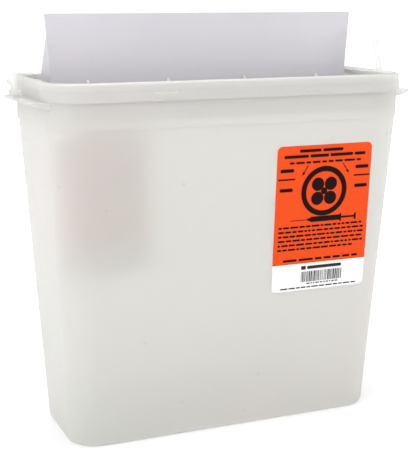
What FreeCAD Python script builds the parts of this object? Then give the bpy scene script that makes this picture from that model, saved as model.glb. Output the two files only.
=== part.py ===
import FreeCAD, Part
import math
import os

# Wall-cabinet sharps container: tapered tub, press-down lid, counterbalanced drop door,
# two fold-back locking arms and a label on each broad face.
# Millimetres.  X runs across the broad face, Y to the rear, Z up.
# Origin: bottom centre of the tub.

V = FreeCAD.Vector

# ---- overall sizes -------------------------------------------------------------
LID_W = 248.0            # lid skirt, end to end
LID_D = 117.0            # lid skirt, front to rear
LID_TOP = 236.5          # top of the lid rim
LID_SKIRT = 225.0        # bottom edge of the lid skirt
BASE_W = 219.0           # tub footprint
BASE_D = 81.0
BASE_R = 19.5            # footprint corner radius
BASE_EDGE = 3.4          # round of the base edge
SHOULDER = 208.0         # height where the taper meets the collar
LEDGE_OUT = 10.0         # end ledges stand out past the lid

# ---- walls and clearances ------------------------------------------------------
WALL = 1.5               # tub wall
FLOOR = 2.2              # tub floor
LID_WALL = 1.4           # lid skirt wall
DECK_T = 1.5             # lid deck
GAP = 0.3                # general clearance between bodies
RIM_GAP = 0.4            # inner skirt to tub rim
STEP = 1.3               # shoulder step below the collar
LID_R = 26.0             # lid corner radius
BAND_IN = 0.4            # upper lid band set in from the skirt
BAND_Z = 231.0           # height of the lid step line
DECK_DROP = 5.0          # deck below the lid rim
RIM_ROUND = 1.8          # outer edge round of the rim
INNER_SKIRT = 213.0      # bottom of the inner skirt
RUN_FIT = 0.06           # radial running fit on pivots
TAPER_R_DROP = 4.8       # shoulder radius smaller than the lid radius

# ---- sizes derived once --------------------------------------------------------
COLLAR_IN = LID_WALL + GAP
COLLAR_W = LID_W - 2 * COLLAR_IN
COLLAR_D = LID_D - 2 * COLLAR_IN
COLLAR_R = LID_R - COLLAR_IN
TAPER_W = COLLAR_W - 2 * STEP
TAPER_D = COLLAR_D - 2 * STEP
TAPER_R = LID_R - TAPER_R_DROP
WEB_T = 1.7
RIM_TOP = LID_TOP - WEB_T - GAP
LEDGE_TOP = LID_SKIRT - 0.4
DECK_Z = LID_TOP - DECK_DROP
ISLAND_IN = COLLAR_IN + WALL + RIM_GAP
WELL_IN = ISLAND_IN + 1.3
WELL_HALF_D = LID_D / 2 - WELL_IN
LEDGE_TIP = LID_W / 2 + LEDGE_OUT

# ---- door ----------------------------------------------------------------------
DOOR_HALF = LID_W / 2 - 17.0
DOOR_FLARE = 2.7         # panel widens by this much each side, above the lid, up to its top edge
DOOR_Y = 4.9             # front face of the raised panel
DOOR_T = 2.0
PIVOT_OFF = 10.5         # pivot behind the panel's front face
PIVOT_Y = DOOR_Y + PIVOT_OFF
PIVOT_Z = LID_TOP + GAP - (PIVOT_Y - DOOR_Y - DOOR_T)
DOOR_OVER = 4.6          # shut door reaches this far past the rear of the lid
DOOR_TOP = PIVOT_Z - PIVOT_Y + LID_D / 2 + DOOR_OVER
TRUNNION_R = 2.5
TRUNNION_L = 3.2
CHEEK_T = 1.3
TRAY_T = 1.3
TRAY_SLOPE = 25.0        # degrees, tray floor falls to the rear
TRAY_BACK = 20.0         # rear lip behind the pivot
CHEEK_CLEAR = 0.6        # shut cheeks stay this far inside the lid well
CHEEK_START = 6.5        # cheek depth where it starts
CHEEK_DEPTH = 23.0       # cheek depth at rim level
LIP_T = 1.0
LIP_DEEP = 1.2
HOOK_X = 67.6            # closing hooks behind the top edge
HOOK_W = 10.0
HOOK_DEEP = 3.4
HOOK_TOP = 1.6           # hook starts this far below the top edge
SLOT_HALF = DOOR_HALF + 0.8
SLOT_FRONT = DOOR_Y - 0.6
SLOT_REAR = PIVOT_Y + 25.6
NOTCH_IN = 3.6           # end notches let the cheeks pass the rear shelf
EAR_T = 2.5
EAR_R = 5.0
STOP_X = (-83.0, -27.7, 27.7, 83.0)

# ---- locking arms, catches, ledges ---------------------------------------------
LEDGE_FRONT = -43.0
LEDGE_REAR = 27.0
LEDGE_R = 9.0
ARM_X0 = LEDGE_TIP - 3.1
ARM_T = 2.2
ARM_PIN_Y = -2.0
ARM_FOOT_R = 2.3
ARM_PIN_R = 1.0
ARM_PIN_Z = LEDGE_TOP + GAP + ARM_FOOT_R
ARM_H = 28.5             # pin to tip
ARM_LEAN = 6.0           # tip leans this far to the rear
BARB = 6.0
LUG_T = 2.2

# ---- labels --------------------------------------------------------------------
LABEL_W = 70.0
LABEL_H = 99.5
LABEL_X = 60.6           # centre of the label from the tub centre line
LABEL_DROP = 115.3       # lower edge below the shoulder
LABEL_Z0 = SHOULDER - LABEL_DROP
LABEL_T = 0.25
LABEL_R = 3.5


def rrect(w, d, r, z):
    """Closed wire: rectangle w x d with corner radius r at height z."""
    x, y, k = w / 2, d / 2, math.sqrt(0.5)
    edges = []
    spots = ((x, y, 1, 1), (-x, y, -1, 1), (-x, -y, -1, -1), (x, -y, 1, -1))
    starts = []
    for px, py, sx, sy in spots:
        cx, cy = px - sx * r, py - sy * r
        side = V(px, cy, z)
        cap = V(cx, py, z)
        mid = V(cx + sx * r * k, cy + sy * r * k, z)
        a, b = (side, cap) if sx * sy > 0 else (cap, side)
        starts.append((a, mid, b))
    for i, (a, mid, b) in enumerate(starts):
        edges.append(Part.Arc(a, mid, b).toShape())
        nxt = starts[(i + 1) % 4][0]
        edges.append(Part.makeLine(b, nxt))
    return Part.Wire(edges)


def slab(w, d, r, z0, z1):
    """Vertical rounded block from z0 to z1."""
    return Part.Face(rrect(w, d, r, z0)).extrude(V(0, 0, z1 - z0))


def taper(w0, d0, r0, z0, w1, d1, r1, z1):
    """Drafted rounded block between two heights."""
    return Part.makeLoft([rrect(w0, d0, r0, z0), rrect(w1, d1, r1, z1)], True, True)


def drafted_block(inset, z0, z1, edge):
    """Body of the drafted wall moved in by inset, with its lower edge rounded in four strips."""
    wires = []
    for deg in (0, 20, 42, 66, 90):
        t = math.radians(deg)
        z = z0 + edge * (1 - math.cos(t))
        w, d, r = outer_size(z)
        step = inset + edge * (1 - math.sin(t))
        wires.append(rrect(w - 2 * step, d - 2 * step, max(r - step, 1.0), z))
    w, d, r = outer_size(z1)
    wires.append(rrect(w - 2 * inset, d - 2 * inset, r - inset, z1))
    return Part.makeLoft(wires, True, True)


def box(x0, x1, y0, y1, z0, z1):
    return Part.makeBox(x1 - x0, y1 - y0, z1 - z0, V(x0, y0, z0))


def profile_yz(points, x0, x1):
    """Prism of a closed Y-Z outline between two X stations."""
    wire = Part.makePolygon([V(x0, y, z) for y, z in points + [points[0]]])
    return Part.Face(wire).extrude(V(x1 - x0, 0, 0))


def profile_xz(points, y0, y1):
    """Prism of a closed X-Z outline between two Y stations."""
    wire = Part.makePolygon([V(x, y0, z) for x, z in points + [points[0]]])
    return Part.Face(wire).extrude(V(0, y1 - y0, 0))


def rod_x(r, x0, x1, y, z):
    return Part.makeCylinder(r, x1 - x0, V(x0, y, z), V(1, 0, 0))


def mirror_x(shape):
    return shape.mirror(V(0, 0, 0), V(1, 0, 0))


def edges_at(shape, z, tol=0.01):
    """Edges lying wholly at height z."""
    found = []
    for e in shape.Edges:
        bb = e.BoundBox
        if abs(bb.ZMin - z) < tol and abs(bb.ZMax - z) < tol:
            found.append(e)
    return found


def outer_size(z):
    """Outside width, depth and corner radius of the drafted wall at height z."""
    t = z / SHOULDER
    w = BASE_W + (TAPER_W - BASE_W) * t
    d = BASE_D + (TAPER_D - BASE_D) * t
    r = BASE_R + (TAPER_R - BASE_R) * t
    return w, d, r


# ---- tub -----------------------------------------------------------------------
def tub_shell():
    """Drafted shell with a soft base edge, a shoulder step and a vertical collar."""
    outer = drafted_block(0.0, 0.0, SHOULDER, BASE_EDGE)
    collar = slab(COLLAR_W, COLLAR_D, COLLAR_R, SHOULDER, RIM_TOP)
    body = outer.fuse(collar)
    inner_top = SHOULDER + WALL
    cavity = drafted_block(WALL, FLOOR, inner_top, BASE_EDGE - WALL)
    mouth = slab(COLLAR_W - 2 * WALL, COLLAR_D - 2 * WALL, COLLAR_R - WALL,
                 inner_top, RIM_TOP + 1)
    return body.cut(cavity.fuse(mouth))


def end_ledge():
    """Right-hand end ledge: thin tip, thicker root, rounded in plan."""
    top, tip = LEDGE_TOP, LEDGE_TIP
    inner = tip - 34.0
    outline = [(inner, top), (tip, top), (tip, top - 1.0),
               (COLLAR_W / 2 - 1.0, top - 4.0), (inner, top - 4.0)]
    wedge = profile_xz(outline, LEDGE_FRONT, LEDGE_REAR)
    depth = LEDGE_REAR - LEDGE_FRONT
    plan = slab(68.0, depth, LEDGE_R, top - 6, top + 1)
    plan.translate(V(tip - 34.0, (LEDGE_REAR + LEDGE_FRONT) / 2, 0))
    wedge = wedge.common(plan)
    inside = slab(COLLAR_W - WALL, COLLAR_D - WALL, COLLAR_R - WALL / 2, top - 8, top + 2)
    return wedge.cut(inside)


def arm_lug():
    """Upright lug on the right ledge carrying the stub pin of the locking arm."""
    x1 = ARM_X0 - 0.4
    x0 = x1 - LUG_T
    y, z, r = ARM_PIN_Y, ARM_PIN_Z, ARM_FOOT_R
    post = box(x0, x1, y - r, y + r, LEDGE_TOP - 0.6, z)
    crown = rod_x(r, x0, x1, y, z)
    pin = rod_x(ARM_PIN_R, x0, ARM_X0 + ARM_T + 0.3, y, z)
    return post.fuse(crown).fuse(pin)


def catch_finger():
    """Rear catch on the right ledge: sloping finger above a small nub."""
    x1 = ARM_X0 - 0.5
    x0 = x1 - LUG_T
    z = LEDGE_TOP
    outline = [(12.0, z - 0.6), (21.0, z - 0.6), (22.0, z + 1.8), (24.0, z + 3.6),
               (20.8, z + 3.3), (17.0, z + 1.9), (15.6, z + 4.4), (28.4, z + 8.2),
               (27.8, z + 10.0), (13.6, z + 6.4), (12.0, z + 4.6)]
    return profile_yz(outline, x0, x1)


def container_tub():
    half = end_ledge().fuse(arm_lug()).fuse(catch_finger())
    return tub_shell().fuse(half).fuse(mirror_x(half)).removeSplitter()


# ---- lid -----------------------------------------------------------------------
def lid_shell():
    """Stepped skirt, rounded rim, sunken deck and the inner skirt in the tub mouth."""
    skirt = slab(LID_W, LID_D, LID_R, LID_SKIRT, BAND_Z)
    band = slab(LID_W - 2 * BAND_IN, LID_D - 2 * BAND_IN, LID_R - BAND_IN, BAND_Z, LID_TOP)
    band = band.makeFillet(RIM_ROUND, edges_at(band, LID_TOP))
    island = slab(LID_W - 2 * ISLAND_IN, LID_D - 2 * ISLAND_IN, LID_R - ISLAND_IN,
                  INNER_SKIRT, LID_TOP - 0.5)
    body = skirt.fuse(band)
    channel = slab(LID_W - 2 * LID_WALL, LID_D - 2 * LID_WALL, LID_R - LID_WALL,
                   LID_SKIRT - 1, LID_TOP - WEB_T)
    body = body.cut(channel).fuse(island)
    well_w, well_d, well_r = LID_W - 2 * WELL_IN, LID_D - 2 * WELL_IN, LID_R - WELL_IN
    well = slab(well_w, well_d, well_r, DECK_Z, LID_TOP + 1)
    lead = taper(well_w, well_d, well_r, LID_TOP - 1.2, well_w + 2.4, well_d + 2.4,
                 well_r + 1.2, LID_TOP)
    well = well.fuse(lead)
    under = slab(well_w, well_d, well_r, INNER_SKIRT - 1, DECK_Z - DECK_T)
    return body.cut(well).cut(under)


def bearing_ear():
    """Right-hand ear hanging from the deck; its bore carries the door trunnion."""
    x0, x1 = SLOT_HALF, SLOT_HALF + EAR_T
    block = box(x0, x1, PIVOT_Y - EAR_R, PIVOT_Y + EAR_R, PIVOT_Z, DECK_Z)
    return block.fuse(rod_x(EAR_R, x0, x1, PIVOT_Y, PIVOT_Z))


def snap_pads():
    """Four shallow pads on the skirt where it snaps over the tub rim."""
    out = LID_D / 2 + 0.5
    pads = []
    for x in (-51.0, 51.0):
        for s in (-1, 1):
            y0, y1 = sorted((s * (LID_D / 2 - 0.6), s * out))
            pad = box(x - 9, x + 9, y0, y1, LID_SKIRT + 1.0, BAND_Z - 1.0)
            pads.append(pad.makeChamfer(0.4, edges_far_y(pad, s * out)))
    return pads


def edges_far_y(shape, y):
    return [e for e in shape.Edges
            if abs(e.BoundBox.YMin - y) < 0.01 and abs(e.BoundBox.YMax - y) < 0.01]


def stop_rib(x):
    """Small rib on the deck that the raised panel leans against."""
    y1 = DOOR_Y - GAP
    outline = [(y1 - 4.5, DECK_Z - 0.5), (y1, DECK_Z - 0.5), (y1, DECK_Z + 2.4),
               (y1 - 1.5, DECK_Z + 2.4)]
    return profile_yz(outline, x - 0.8, x + 0.8)


def lid():
    shell = lid_shell()
    slot = box(-SLOT_HALF, SLOT_HALF, SLOT_FRONT, SLOT_REAR, DECK_Z - DECK_T - 1, DECK_Z + 1)
    shell = shell.cut(slot)
    for x0 in (-SLOT_HALF, SLOT_HALF - NOTCH_IN):
        shell = shell.cut(box(x0, x0 + NOTCH_IN, SLOT_REAR - 1, WELL_HALF_D,
                              DECK_Z - DECK_T - 1, DECK_Z + 1))
    ear = bearing_ear()
    parts = [ear, mirror_x(ear)] + snap_pads() + [stop_rib(x) for x in STOP_X]
    # ribs under the front deck
    front = -(LID_D / 2 - WELL_IN) - 0.5
    for x in STOP_X:
        z1 = DECK_Z - DECK_T + 0.3
        parts.append(box(x - 0.7, x + 0.7, front, SLOT_FRONT - 9.0, z1 - 4.3, z1))
    body = shell.multiFuse(parts)
    bore = rod_x(TRUNNION_R + RUN_FIT, -LID_W / 2 + 10, LID_W / 2 - 10, PIVOT_Y, PIVOT_Z)
    keep = box(-SLOT_HALF + 1, SLOT_HALF - 1, -60, 60, 200, 240)
    return body.cut(bore.cut(keep)).removeSplitter()


# ---- door ----------------------------------------------------------------------
def tray_sheet():
    """Tray floor: wraps under the pivot, falls to the rear, ends in an upturned lip."""
    r = PIVOT_OFF
    a0, a1 = math.pi, math.pi + math.radians(90 - TRAY_SLOPE)
    am = (a0 + a1) / 2

    def at(a):
        return V(-DOOR_HALF, PIVOT_Y + r * math.cos(a), PIVOT_Z + r * math.sin(a))
    end = at(a1)
    run = TRAY_BACK - 5.0 + r * abs(math.cos(a1))
    drop = run * math.tan(math.radians(TRAY_SLOPE))
    low = end + V(0, run, -drop)
    lip = low + V(0, 5.0, 7.0)
    path = Part.Wire([Part.makeLine(at(a0) + V(0, 0, 2), at(a0)),
                      Part.Arc(at(a0), at(am), end).toShape(),
                      Part.makeLine(end, low), Part.makeLine(low, lip)])
    return path, low, lip


def thick_path(path, inward):
    """Solid sheet of TRAY_T on the tray path, the full width of the door."""
    face = path.makeOffset2D(inward, 2, True, True)
    return face.extrude(V(2 * DOOR_HALF, 0, 0))


def cheek(low, lip):
    """Right-hand end cheek: triangle behind the panel closing the tray end."""
    y0 = DOOR_Y + DOOR_T
    corner_r = LID_R - WELL_IN
    corner_x = DOOR_HALF - (LID_W / 2 - LID_R)
    reach = LID_D / 2 - LID_R + math.sqrt(corner_r ** 2 - corner_x ** 2)
    top = PIVOT_Z + reach - PIVOT_Y - CHEEK_CLEAR
    outline = [(y0 - 0.5, top), (y0, top), (y0 + CHEEK_START, top - 1.2),
               (y0 + CHEEK_DEPTH, LID_TOP), (lip.y, LID_TOP - 8.0), (lip.y, lip.z),
               (low.y, low.z)]
    r = PIVOT_OFF
    for a in (245, 230, 215, 200, 190, 180):
        t = math.radians(a)
        outline.append((PIVOT_Y + r * math.cos(t), PIVOT_Z + r * math.sin(t)))
    x1 = DOOR_HALF
    return profile_yz(outline, x1 - CHEEK_T, x1)


def closing_hook(x):
    """Wedge behind the top edge; it drops behind the lid rim when the door is shut."""
    y0 = DOOR_Y + DOOR_T
    z1 = DOOR_TOP - HOOK_TOP
    z0 = PIVOT_Z + LID_D / 2 - BAND_IN + GAP - PIVOT_Y
    outline = [(y0 - 0.5, z0), (y0 + HOOK_DEEP, z0), (y0 + HOOK_DEEP, z0 + 0.8),
               (y0, z1), (y0 - 0.5, z1)]
    return profile_yz(outline, x - HOOK_W / 2, x + HOOK_W / 2)


def door():
    path, low, lip = tray_sheet()
    sheet = thick_path(path, -TRAY_T)
    if sheet.BoundBox.YMin < DOOR_Y - 0.5:
        sheet = thick_path(path, TRAY_T)
    top_half = DOOR_HALF + DOOR_FLARE
    flare_z = LID_TOP + 1.0
    panel = profile_xz([(-DOOR_HALF, PIVOT_Z), (DOOR_HALF, PIVOT_Z), (DOOR_HALF, flare_z),
                        (top_half, DOOR_TOP), (-top_half, DOOR_TOP), (-DOOR_HALF, flare_z)],
                       DOOR_Y, DOOR_Y + DOOR_T)
    lip_half = top_half - 0.1
    top_lip = box(-lip_half, lip_half, DOOR_Y + DOOR_T - 0.3, DOOR_Y + DOOR_T + LIP_DEEP,
                  DOOR_TOP - LIP_T, DOOR_TOP)
    cross = box(-DOOR_HALF + 0.5, DOOR_HALF - 0.5, DOOR_Y + DOOR_T - 0.3,
                DOOR_Y + DOOR_T + 1.2, LID_TOP + 4, LID_TOP + 5.2)
    right = cheek(low, lip)
    pin = rod_x(TRUNNION_R, DOOR_HALF - 1, DOOR_HALF + TRUNNION_L, PIVOT_Y, PIVOT_Z)
    right = right.fuse(pin.makeChamfer(0.4, [e for e in pin.Edges
                                             if e.BoundBox.XMin > DOOR_HALF + 1]))
    body = panel.multiFuse([sheet, top_lip, cross, right, mirror_x(right),
                            closing_hook(-HOOK_X), closing_hook(HOOK_X)])
    return body.removeSplitter()


# ---- locking arm ---------------------------------------------------------------
def lock_arm():
    """Right-hand arm: bored foot, leaning stem, rear-facing barb at the tip."""
    y, z = ARM_PIN_Y, ARM_PIN_Z
    h, lean = ARM_H, ARM_LEAN
    r = ARM_FOOT_R
    outline = [(y - r, z), (y + r, z), (y + r + 0.8, z + 8.0), (y + lean * 0.62 + 1.6, z + h * 0.62),
               (y + lean * 0.7 + 3.2, z + h * 0.71), (y + lean + BARB, z + h * 0.76),
               (y + lean + BARB - 0.4, z + h * 0.79), (y + lean + 2.2, z + h),
               (y + lean - 1.8, z + h), (y + lean * 0.62 - 2.4, z + h * 0.62),
               (y - r + 0.3, z + 8.0)]
    stem = profile_yz(outline, ARM_X0, ARM_X0 + ARM_T)
    foot = rod_x(r, ARM_X0, ARM_X0 + ARM_T, y, z)
    arm = stem.fuse(foot)
    bore = rod_x(ARM_PIN_R + RUN_FIT, ARM_X0 - 1, ARM_X0 + ARM_T + 1, y, z)
    return arm.cut(bore).removeSplitter()


# ---- label ---------------------------------------------------------------------
def front_label():
    """Thin sticker lying on the sloping front wall, right of centre."""
    draft = math.degrees(math.atan2((TAPER_D - BASE_D) / 2, SHOULDER))
    sheet = slab(LABEL_W, LABEL_H, LABEL_R, 0, LABEL_T)
    sheet.translate(V(LABEL_X, LABEL_H / 2, 0))
    sheet.rotate(V(0, 0, 0), V(1, 0, 0), 90 + draft)
    depth = outer_size(LABEL_Z0)[1] / 2
    sheet.translate(V(0, -depth, LABEL_Z0))
    return sheet


def rear_label():
    sheet = front_label()
    sheet.rotate(V(0, 0, 0), V(0, 0, 1), 180)
    return sheet


def save(name, shape):
    solids = shape.Solids
    if len(solids) != 1:
        raise ValueError("%s has %d solids" % (name, len(solids)))
    if not shape.isValid():
        raise ValueError("%s is not valid" % name)
    solids[0].exportStep("parts/%s.step" % name)


os.makedirs("parts", exist_ok=True)
save("container_tub", container_tub())
save("lid", lid())
save("door", door())
right_arm = lock_arm()
save("lock_arm_right", right_arm)
save("lock_arm_left", mirror_x(right_arm))
save("front_label", front_label())
save("rear_label", rear_label())
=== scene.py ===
"""Looks of the sharps container: plastics, label print, floor, studio light and camera."""
import bpy
import math
import random
from mathutils import Vector, Matrix


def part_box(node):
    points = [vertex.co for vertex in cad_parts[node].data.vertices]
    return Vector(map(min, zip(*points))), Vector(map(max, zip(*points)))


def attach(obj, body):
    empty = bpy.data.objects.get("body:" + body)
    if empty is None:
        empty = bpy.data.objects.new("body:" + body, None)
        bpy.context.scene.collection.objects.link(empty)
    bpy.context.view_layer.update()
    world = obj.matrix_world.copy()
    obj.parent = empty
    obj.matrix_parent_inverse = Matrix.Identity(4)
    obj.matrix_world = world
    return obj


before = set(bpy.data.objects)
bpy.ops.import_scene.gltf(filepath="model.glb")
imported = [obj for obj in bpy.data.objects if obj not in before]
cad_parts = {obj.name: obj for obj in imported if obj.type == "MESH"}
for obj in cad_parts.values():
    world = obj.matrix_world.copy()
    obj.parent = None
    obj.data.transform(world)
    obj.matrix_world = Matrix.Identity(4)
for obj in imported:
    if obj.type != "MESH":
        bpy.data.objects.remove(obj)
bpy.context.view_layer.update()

MM = 0.001

# Sockets of Blender's Mix node when it mixes colours
MIX_A, MIX_B, MIX_OUT = 6, 7, 2


# ---------------------------------------------------------------- shader helpers
def node_tree(name):
    """New material with one Principled shader on its output."""
    mat = bpy.data.materials.new(name)
    mat.use_nodes = True
    nt = mat.node_tree
    nt.nodes.clear()
    out = nt.nodes.new("ShaderNodeOutputMaterial")
    bsdf = nt.nodes.new("ShaderNodeBsdfPrincipled")
    nt.links.new(bsdf.outputs[0], out.inputs[0])
    return mat, nt, bsdf


def noise(nt, scale, detail=3.0, rough=0.5):
    """Noise fixed to the object."""
    tc = nt.nodes.new("ShaderNodeTexCoord")
    n = nt.nodes.new("ShaderNodeTexNoise")
    n.inputs["Scale"].default_value = scale
    n.inputs["Detail"].default_value = detail
    n.inputs["Roughness"].default_value = rough
    nt.links.new(tc.outputs["Object"], n.inputs["Vector"])
    return n


def ramp(nt, source, stops):
    """Colour ramp over (position, colour) stops."""
    r = nt.nodes.new("ShaderNodeValToRGB")
    els = r.color_ramp.elements
    while len(els) < len(stops):
        els.new(0.5)
    for e, (p, c) in zip(els, stops):
        e.position = p
        e.color = (c[0], c[1], c[2], 1.0)
    nt.links.new(source, r.inputs[0])
    return r


def map_range(nt, source, from_lo, from_hi, to_lo, to_hi):
    """Linear map of a value, held at its ends."""
    m = nt.nodes.new("ShaderNodeMapRange")
    m.inputs["From Min"].default_value = from_lo
    m.inputs["From Max"].default_value = from_hi
    m.inputs["To Min"].default_value = to_lo
    m.inputs["To Max"].default_value = to_hi
    nt.links.new(source, m.inputs["Value"])
    return m


def spread(nt, source, lo, hi):
    """Noise, which mostly lies between 0.3 and 0.7, stretched to a roughness range."""
    return map_range(nt, source, 0.3, 0.7, lo, hi)


def fine_bump(nt, bsdf, source, strength, distance):
    bump = nt.nodes.new("ShaderNodeBump")
    bump.inputs["Strength"].default_value = strength
    bump.inputs["Distance"].default_value = distance
    nt.links.new(source, bump.inputs["Height"])
    nt.links.new(bump.outputs[0], bsdf.inputs["Normal"])


# ---------------------------------------------------------------- materials
SPECK = (0.62, 0.58, 0.5)


def plastic(name, tint, deep, clear, milky, rough, specks, coat):
    """Natural polypropylene: cloudy, satin, partly clear, with tiny inclusions.

    clear is the shader's transmission, milky the share of translucent scatter mixed in.
    """
    mat, nt, b = node_tree(name)
    cloud = noise(nt, 8.0, 4.0, 0.55)
    cool = (deep[0] - 0.004, deep[1] + 0.006, deep[2])
    warm = (tint[0] + 0.008, tint[1] - 0.004, tint[2] + 0.002)
    col = ramp(nt, cloud.outputs["Fac"], [(0.32, cool), (0.5, deep), (0.68, warm)])
    speck_tc = nt.nodes.new("ShaderNodeTexCoord")
    vor = nt.nodes.new("ShaderNodeTexVoronoi")
    vor.inputs["Scale"].default_value = 38.0
    nt.links.new(speck_tc.outputs["Object"], vor.inputs["Vector"])
    dot = ramp(nt, vor.outputs["Distance"], [(0.03, SPECK), (0.06, (1, 1, 1))])
    mix = nt.nodes.new("ShaderNodeMix")
    mix.data_type = "RGBA"
    mix.blend_type = "MULTIPLY"
    mix.inputs[0].default_value = specks
    nt.links.new(col.outputs[0], mix.inputs[MIX_A])
    nt.links.new(dot.outputs[0], mix.inputs[MIX_B])
    nt.links.new(mix.outputs[MIX_OUT], b.inputs["Base Color"])
    grain = noise(nt, 420.0, 2.0, 0.6)
    r = spread(nt, grain.outputs["Fac"], rough - 0.04, rough + 0.06)
    nt.links.new(r.outputs[0], b.inputs["Roughness"])
    fine_bump(nt, b, grain.outputs["Fac"], 0.06, 0.0004)
    b.inputs["Transmission Weight"].default_value = clear
    b.inputs["IOR"].default_value = 1.33
    b.inputs["Coat Weight"].default_value = coat
    b.inputs["Coat Roughness"].default_value = 0.22
    through = nt.nodes.new("ShaderNodeBsdfTranslucent")
    nt.links.new(mix.outputs[MIX_OUT], through.inputs["Color"])
    blend = nt.nodes.new("ShaderNodeMixShader")
    blend.inputs[0].default_value = milky
    nt.links.new(b.outputs[0], blend.inputs[1])
    nt.links.new(through.outputs[0], blend.inputs[2])
    out = [n for n in nt.nodes if n.type == "OUTPUT_MATERIAL"][0]
    nt.links.new(blend.outputs[0], out.inputs[0])
    return mat


def ink(name, colour):
    """Dull printing ink."""
    mat, nt, b = node_tree(name)
    n = noise(nt, 900.0, 2.0)
    dark = tuple(c * 0.86 for c in colour)
    col = ramp(nt, n.outputs["Fac"], [(0.35, dark), (0.65, colour)])
    nt.links.new(col.outputs[0], b.inputs["Base Color"])
    r = spread(nt, n.outputs["Fac"], 0.40, 0.50)
    nt.links.new(r.outputs[0], b.inputs["Roughness"])
    fine_bump(nt, b, n.outputs["Fac"], 0.05, 0.0001)
    b.inputs["Specular IOR Level"].default_value = 0.06
    return mat


def sticker(name, field, strip, height):
    """Sticker stock printed with a colour field above the given height and a plain strip below."""
    mat, nt, b = node_tree(name)
    n = noise(nt, 700.0, 2.0)
    upper = ramp(nt, n.outputs["Fac"], [(0.35, tuple(v * 0.94 for v in field)), (0.65, field)])
    lower = ramp(nt, n.outputs["Fac"], [(0.35, tuple(v * 0.97 for v in strip)), (0.65, strip)])
    tc = nt.nodes.new("ShaderNodeTexCoord")
    sep = nt.nodes.new("ShaderNodeSeparateXYZ")
    nt.links.new(tc.outputs["Object"], sep.inputs[0])
    above = nt.nodes.new("ShaderNodeMath")
    above.operation = "GREATER_THAN"
    above.inputs[1].default_value = height
    nt.links.new(sep.outputs[2], above.inputs[0])
    mix = nt.nodes.new("ShaderNodeMix")
    mix.data_type = "RGBA"
    nt.links.new(above.outputs[0], mix.inputs[0])
    nt.links.new(lower.outputs[0], mix.inputs[MIX_A])
    nt.links.new(upper.outputs[0], mix.inputs[MIX_B])
    nt.links.new(mix.outputs[MIX_OUT], b.inputs["Base Color"])
    r = spread(nt, n.outputs["Fac"], 0.36, 0.48)
    nt.links.new(r.outputs[0], b.inputs["Roughness"])
    fine_bump(nt, b, n.outputs["Fac"], 0.05, 0.0001)
    b.inputs["Specular IOR Level"].default_value = 0.12
    return mat


tub_mat = plastic("tub_plastic", (0.90, 0.893, 0.872), (0.885, 0.88, 0.856),
                  clear=0.70, milky=0.19, rough=0.34, specks=0.25, coat=0.3)
lid_mat = plastic("lid_plastic", (0.95, 0.945, 0.93), (0.935, 0.93, 0.915),
                  clear=0.74, milky=0.14, rough=0.34, specks=0.10, coat=0.5)
door_mat = plastic("door_plastic", (0.75, 0.74, 0.775), (0.73, 0.72, 0.755),
                   clear=0.38, milky=0.26, rough=0.34, specks=0.10, coat=0.3)
black_mat = ink("label_ink", (0.012, 0.003, 0.003))
grey_mat = ink("label_grey_ink", (0.03, 0.03, 0.033))

label_lo, label_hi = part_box("front_label")
STRIP_SHARE = 0.19       # share of the label's height taken by the plain strip
split_z = label_lo[2] + STRIP_SHARE * (label_hi[2] - label_lo[2])
label_mat = sticker("label_stock", (0.73, 0.066, 0.006), (0.80, 0.79, 0.79), split_z)

for name, mat in (("container_tub", tub_mat), ("lid", lid_mat), ("door", door_mat),
                  ("lock_arm_left", lid_mat), ("lock_arm_right", lid_mat),
                  ("front_label", label_mat), ("rear_label", label_mat)):
    ob = bpy.data.objects[name]
    ob.data.materials.clear()
    ob.data.materials.append(mat)

# ---------------------------------------------------------------- label print
# Places on the label are in millimetres: u to the right and v up the sheet, from its lower left corner.
LABEL_T = 0.00025        # sheet thickness
INK_LIFT = 0.00002       # print stands off the sheet
INK_T = 0.00003
lo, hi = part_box("front_label")
draft = math.atan2(hi[1] - lo[1], hi[2] - lo[2])


def on_label(u, v, lift):
    """Place on the label's front, in metres."""
    s, c = math.sin(draft), math.cos(draft)
    x = lo[0] + u * MM
    y = hi[1] - v * MM * s - (LABEL_T + lift) * c
    z = lo[2] + v * MM * c - lift * s
    return Vector((x, y, z))


def print_piece(name, polys, mat):
    """Thin prisms of closed outlines on the front label, and the same turned about Z on the rear one."""
    verts, faces = [], []
    for poly in polys:
        n = len(poly)
        base = len(verts)
        verts += [on_label(u, v, INK_LIFT) for u, v in poly]
        verts += [on_label(u, v, INK_LIFT + INK_T) for u, v in poly]
        faces.append([base + i for i in range(n)][::-1])
        faces.append([base + n + i for i in range(n)])
        for i in range(n):
            j = (i + 1) % n
            faces.append([base + i, base + j, base + n + j, base + n + i])
    for side, turn in (("front", 0.0), ("rear", math.pi)):
        me = bpy.data.meshes.new("%s_%s" % (side, name))
        me.from_pydata([Matrix.Rotation(turn, 3, "Z") @ p for p in verts], [], faces)
        me.validate()
        me.update()
        ob = bpy.data.objects.new("%s_%s" % (side, name), me)
        bpy.context.scene.collection.objects.link(ob)
        me.materials.append(mat)
        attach(ob, "tub_body")


def rect(u0, v0, u1, v1):
    return [(u0, v0), (u1, v0), (u1, v1), (u0, v1)]


def round_rect(u0, v0, u1, v1, r):
    """Rectangle with its corners rounded in two steps."""
    steps = 2
    pts = []
    for cu, cv, start in ((u1 - r, v0 + r, -90), (u1 - r, v1 - r, 0),
                          (u0 + r, v1 - r, 90), (u0 + r, v0 + r, 180)):
        for i in range(steps + 1):
            t = math.radians(start + 90 * i / steps)
            pts.append((cu + r * math.cos(t), cv + r * math.sin(t)))
    return pts


def on_circle(cu, cv, r, i, n):
    t = 2 * math.pi * i / n
    return (cu + r * math.cos(t), cv + r * math.sin(t))


def disc(cu, cv, r, n):
    return [on_circle(cu, cv, r, i, n) for i in range(n)]


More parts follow.
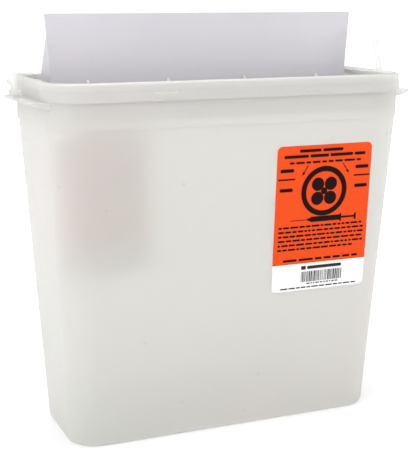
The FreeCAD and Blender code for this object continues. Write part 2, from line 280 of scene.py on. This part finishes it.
def ring(cu, cv, r0, r1, n):
    """Ring as a loop of n quads."""
    return [[on_circle(cu, cv, r0, i, n), on_circle(cu, cv, r1, i, n),
             on_circle(cu, cv, r1, i + 1, n), on_circle(cu, cv, r0, i + 1, n)] for i in range(n)]


def words(u0, u1, v, h, short, long, gap):
    """A row of word-length dashes, from u0 to u1, h high."""
    bars, u = [], u0
    while u < u1 - short * 0.6:
        w = min(rng.uniform(short, long), u1 - u)
        bars.append(round_rect(u, v - h / 2, u + w, v + h / 2, h * 0.3))
        u += w + gap
    return bars


def heading():
    """Three rows at the top of the label."""
    rows = words(16, 55, 96.0, 1.9, 14, 19, 1.6)
    rows += words(5, 65, 92.4, 1.9, 13, 20, 1.4)
    rows += words(9, 62, 88.2, 1.3, 3, 9, 1.4)
    return rows


def side_marks():
    """Two dashes and a level line on each side of the emblem."""
    marks = []
    for u in (2.6, 58.4):
        marks.append(round_rect(u, 82.2, u + 9.6, 84.4, 0.6))
        marks.append(round_rect(u, 69.2, u + 9.4, 71.4, 0.6))
    marks.append(rect(1.2, 77.0, 13.4, 77.9))
    marks.append(rect(57.4, 77.0, 69.2, 77.9))
    return marks


def emblem():
    """Plain ring with four discs round a smaller one."""
    cu, cv = 35.5, 68.2
    off, leaf = 6.8, 4.5
    shapes = ring(cu, cv, 13.4, 16.9, 60)
    for k in range(4):
        a = math.radians(45 + 90 * k)
        shapes.append(disc(cu + off * math.cos(a), cv + off * math.sin(a), leaf, 32))
    shapes.append(disc(cu, cv, 2.3, 28))
    return shapes


def pointers():
    """Thin arrows beside the top of the ring, pointing down and outward."""
    head, half_head, half_line = 2.4, 0.9, 0.22
    shapes = []
    for u0, v0, u1, v1 in ((22.6, 86.2, 18.6, 79.4), (48.6, 86.2, 53.4, 79.4)):
        d = Vector((u1 - u0, v1 - v0)).normalized()
        n = Vector((-d.y, d.x))
        tail, tip = Vector((u0, v0)), Vector((u1, v1))
        neck = tip - d * head
        line = [tail + n * half_line, tail - n * half_line, neck - n * half_line, neck + n * half_line]
        shapes.append([(p.x, p.y) for p in line])
        shapes.append([(p.x, p.y) for p in (tip, neck + n * half_head, neck - n * half_head)])
    return shapes


def syringe():
    """Needle, hub, barrel, flange, rod and thumb rest, from left to right."""
    return [rect(11.5, 49.0, 24.0, 49.35),
            [(24.0, 48.6), (26.5, 48.0), (26.5, 50.4), (24.0, 49.8)],
            rect(26.5, 47.4, 48.5, 51.0),
            rect(48.5, 46.6, 49.6, 51.8),
            rect(49.6, 48.6, 59.6, 49.8),
            rect(59.6, 47.0, 61.0, 51.4)]


def paragraph():
    """Six rows of small dashes, the last one short, and one larger row below them."""
    rows = []
    for i in range(6):
        right = 61.2 if i == 5 else 67.2
        rows += words(3.0, right, 44.6 - i * 3.05, 1.25, 1.6, 6.0, 0.9)
    rows += words(7.5, 64.0, 21.6, 1.5, 4, 11, 1.6)
    return rows


def strip_print():
    """Plain strip: a heading, a made-up row of bars that encodes nothing, and two rows of dashes."""
    shapes = [round_rect(21.5, 14.4, 25.0, 17.0, 0.5), round_rect(26.0, 14.6, 52.0, 16.8, 0.7)]
    u, right = 21.8, 52.6
    while u < right:
        w = rng.choice((0.35, 0.35, 0.6, 0.9))
        shapes.append(rect(u, 5.6, u + w, 13.0))
        u += w + rng.choice((0.35, 0.5, 0.8))
    shapes += words(26, 50, 4.4, 0.8, 1.0, 3.0, 0.6)
    shapes += words(6.5, 64.0, 1.9, 0.9, 2.0, 6.0, 0.8)
    return shapes


rng = random.Random(7)
print_piece("label_print",
            heading() + side_marks() + emblem() + pointers() + syringe() + paragraph(), black_mat)
print_piece("label_small_print", strip_print(), grey_mat)

# ---------------------------------------------------------------- floor and surroundings
FLOOR_HALF = 60.0


def floor_paper():
    """Pale paper with a little light of its own, which rises away from the object."""
    mat, nt, b = node_tree("floor_paper")
    n = noise(nt, 2.0, 2.0)
    c = ramp(nt, n.outputs["Fac"], [(0.3, (0.66, 0.66, 0.665)), (0.7, (0.67, 0.67, 0.67))])
    nt.links.new(c.outputs[0], b.inputs["Base Color"])
    b.inputs["Roughness"].default_value = 0.9
    b.inputs["Specular IOR Level"].default_value = 0.1
    b.inputs["Emission Color"].default_value = (1.0, 1.0, 1.0, 1.0)
    tc = nt.nodes.new("ShaderNodeTexCoord")
    far = nt.nodes.new("ShaderNodeVectorMath")
    far.operation = "LENGTH"
    nt.links.new(tc.outputs["Object"], far.inputs[0])
    glow = map_range(nt, far.outputs["Value"], 0.18, 0.9, 0.29, 0.72)
    nt.links.new(glow.outputs[0], b.inputs["Emission Strength"])
    return mat


me = bpy.data.meshes.new("floor")
me.from_pydata([(-FLOOR_HALF, -FLOOR_HALF, 0), (FLOOR_HALF, -FLOOR_HALF, 0),
                (FLOOR_HALF, FLOOR_HALF, 0), (-FLOOR_HALF, FLOOR_HALF, 0)], [], [(0, 1, 2, 3)])
floor = bpy.data.objects.new("floor", me)
bpy.context.scene.collection.objects.link(floor)
me.materials.append(floor_paper())


def studio_world():
    """White surroundings, bright at the horizon and dimmer overhead."""
    world = bpy.data.worlds.new("studio")
    world.use_nodes = True
    nt = world.node_tree
    bg = nt.nodes["Background"]
    bg.inputs[0].default_value = (1.0, 1.0, 1.0, 1.0)
    tc = nt.nodes.new("ShaderNodeTexCoord")
    sep = nt.nodes.new("ShaderNodeSeparateXYZ")
    nt.links.new(tc.outputs["Generated"], sep.inputs[0])
    sky = map_range(nt, sep.outputs[2], 0.12, 0.55, 1.02, 0.52)
    nt.links.new(sky.outputs[0], bg.inputs[1])
    return world


bpy.context.scene.world = studio_world()


# ---------------------------------------------------------------- lights and camera
def area(name, place, aim, side, power, colour=(1, 1, 1)):
    """Square area lamp at a place, pointed at aim."""
    light = bpy.data.lights.new(name, "AREA")
    light.shape = "RECTANGLE"
    light.size = side
    light.size_y = side
    light.energy = power
    light.color = colour
    ob = bpy.data.objects.new(name, light)
    bpy.context.scene.collection.objects.link(ob)
    ob.location = place
    ob.rotation_euler = (Vector(aim) - Vector(place)).to_track_quat("-Z", "Y").to_euler()


area("key", (-1.3, -0.7, 1.1), (0, 0, 0.15), 0.9, 17.0)
area("top", (0.1, 0.2, 1.5), (0, 0, 0.1), 1.2, 15.0)
area("right", (1.3, -0.6, 0.7), (0, 0, 0.15), 0.8, 7.0, (1.0, 0.97, 0.96))

SENSOR = 36.0            # sensor width in millimetres
PICTURE_WIDTH = 408.0
FOCAL = 1078.4           # focal length, on the same scale as the picture's width
CAMERA_AT = (-0.2836, -0.6704, 0.2875)
CAMERA_TURN = -22.70     # degrees about Z, from straight in front
CAMERA_DIP = 12.04       # degrees looking down

cam_data = bpy.data.cameras.new("camera")
cam_data.sensor_fit = "HORIZONTAL"
cam_data.sensor_width = SENSOR
cam_data.lens = SENSOR * FOCAL / PICTURE_WIDTH
cam_data.clip_start = 0.05
cam = bpy.data.objects.new("camera", cam_data)
bpy.context.scene.collection.objects.link(cam)
cam.location = CAMERA_AT
az, dip = math.radians(CAMERA_TURN), math.radians(CAMERA_DIP)
back = Vector((math.sin(az) * math.cos(dip), -math.cos(az) * math.cos(dip), math.sin(dip)))
cam.rotation_euler = (-back).to_track_quat("-Z", "Y").to_euler()
bpy.context.scene.camera = cam

bpy.context.scene.view_settings.view_transform = "Standard"
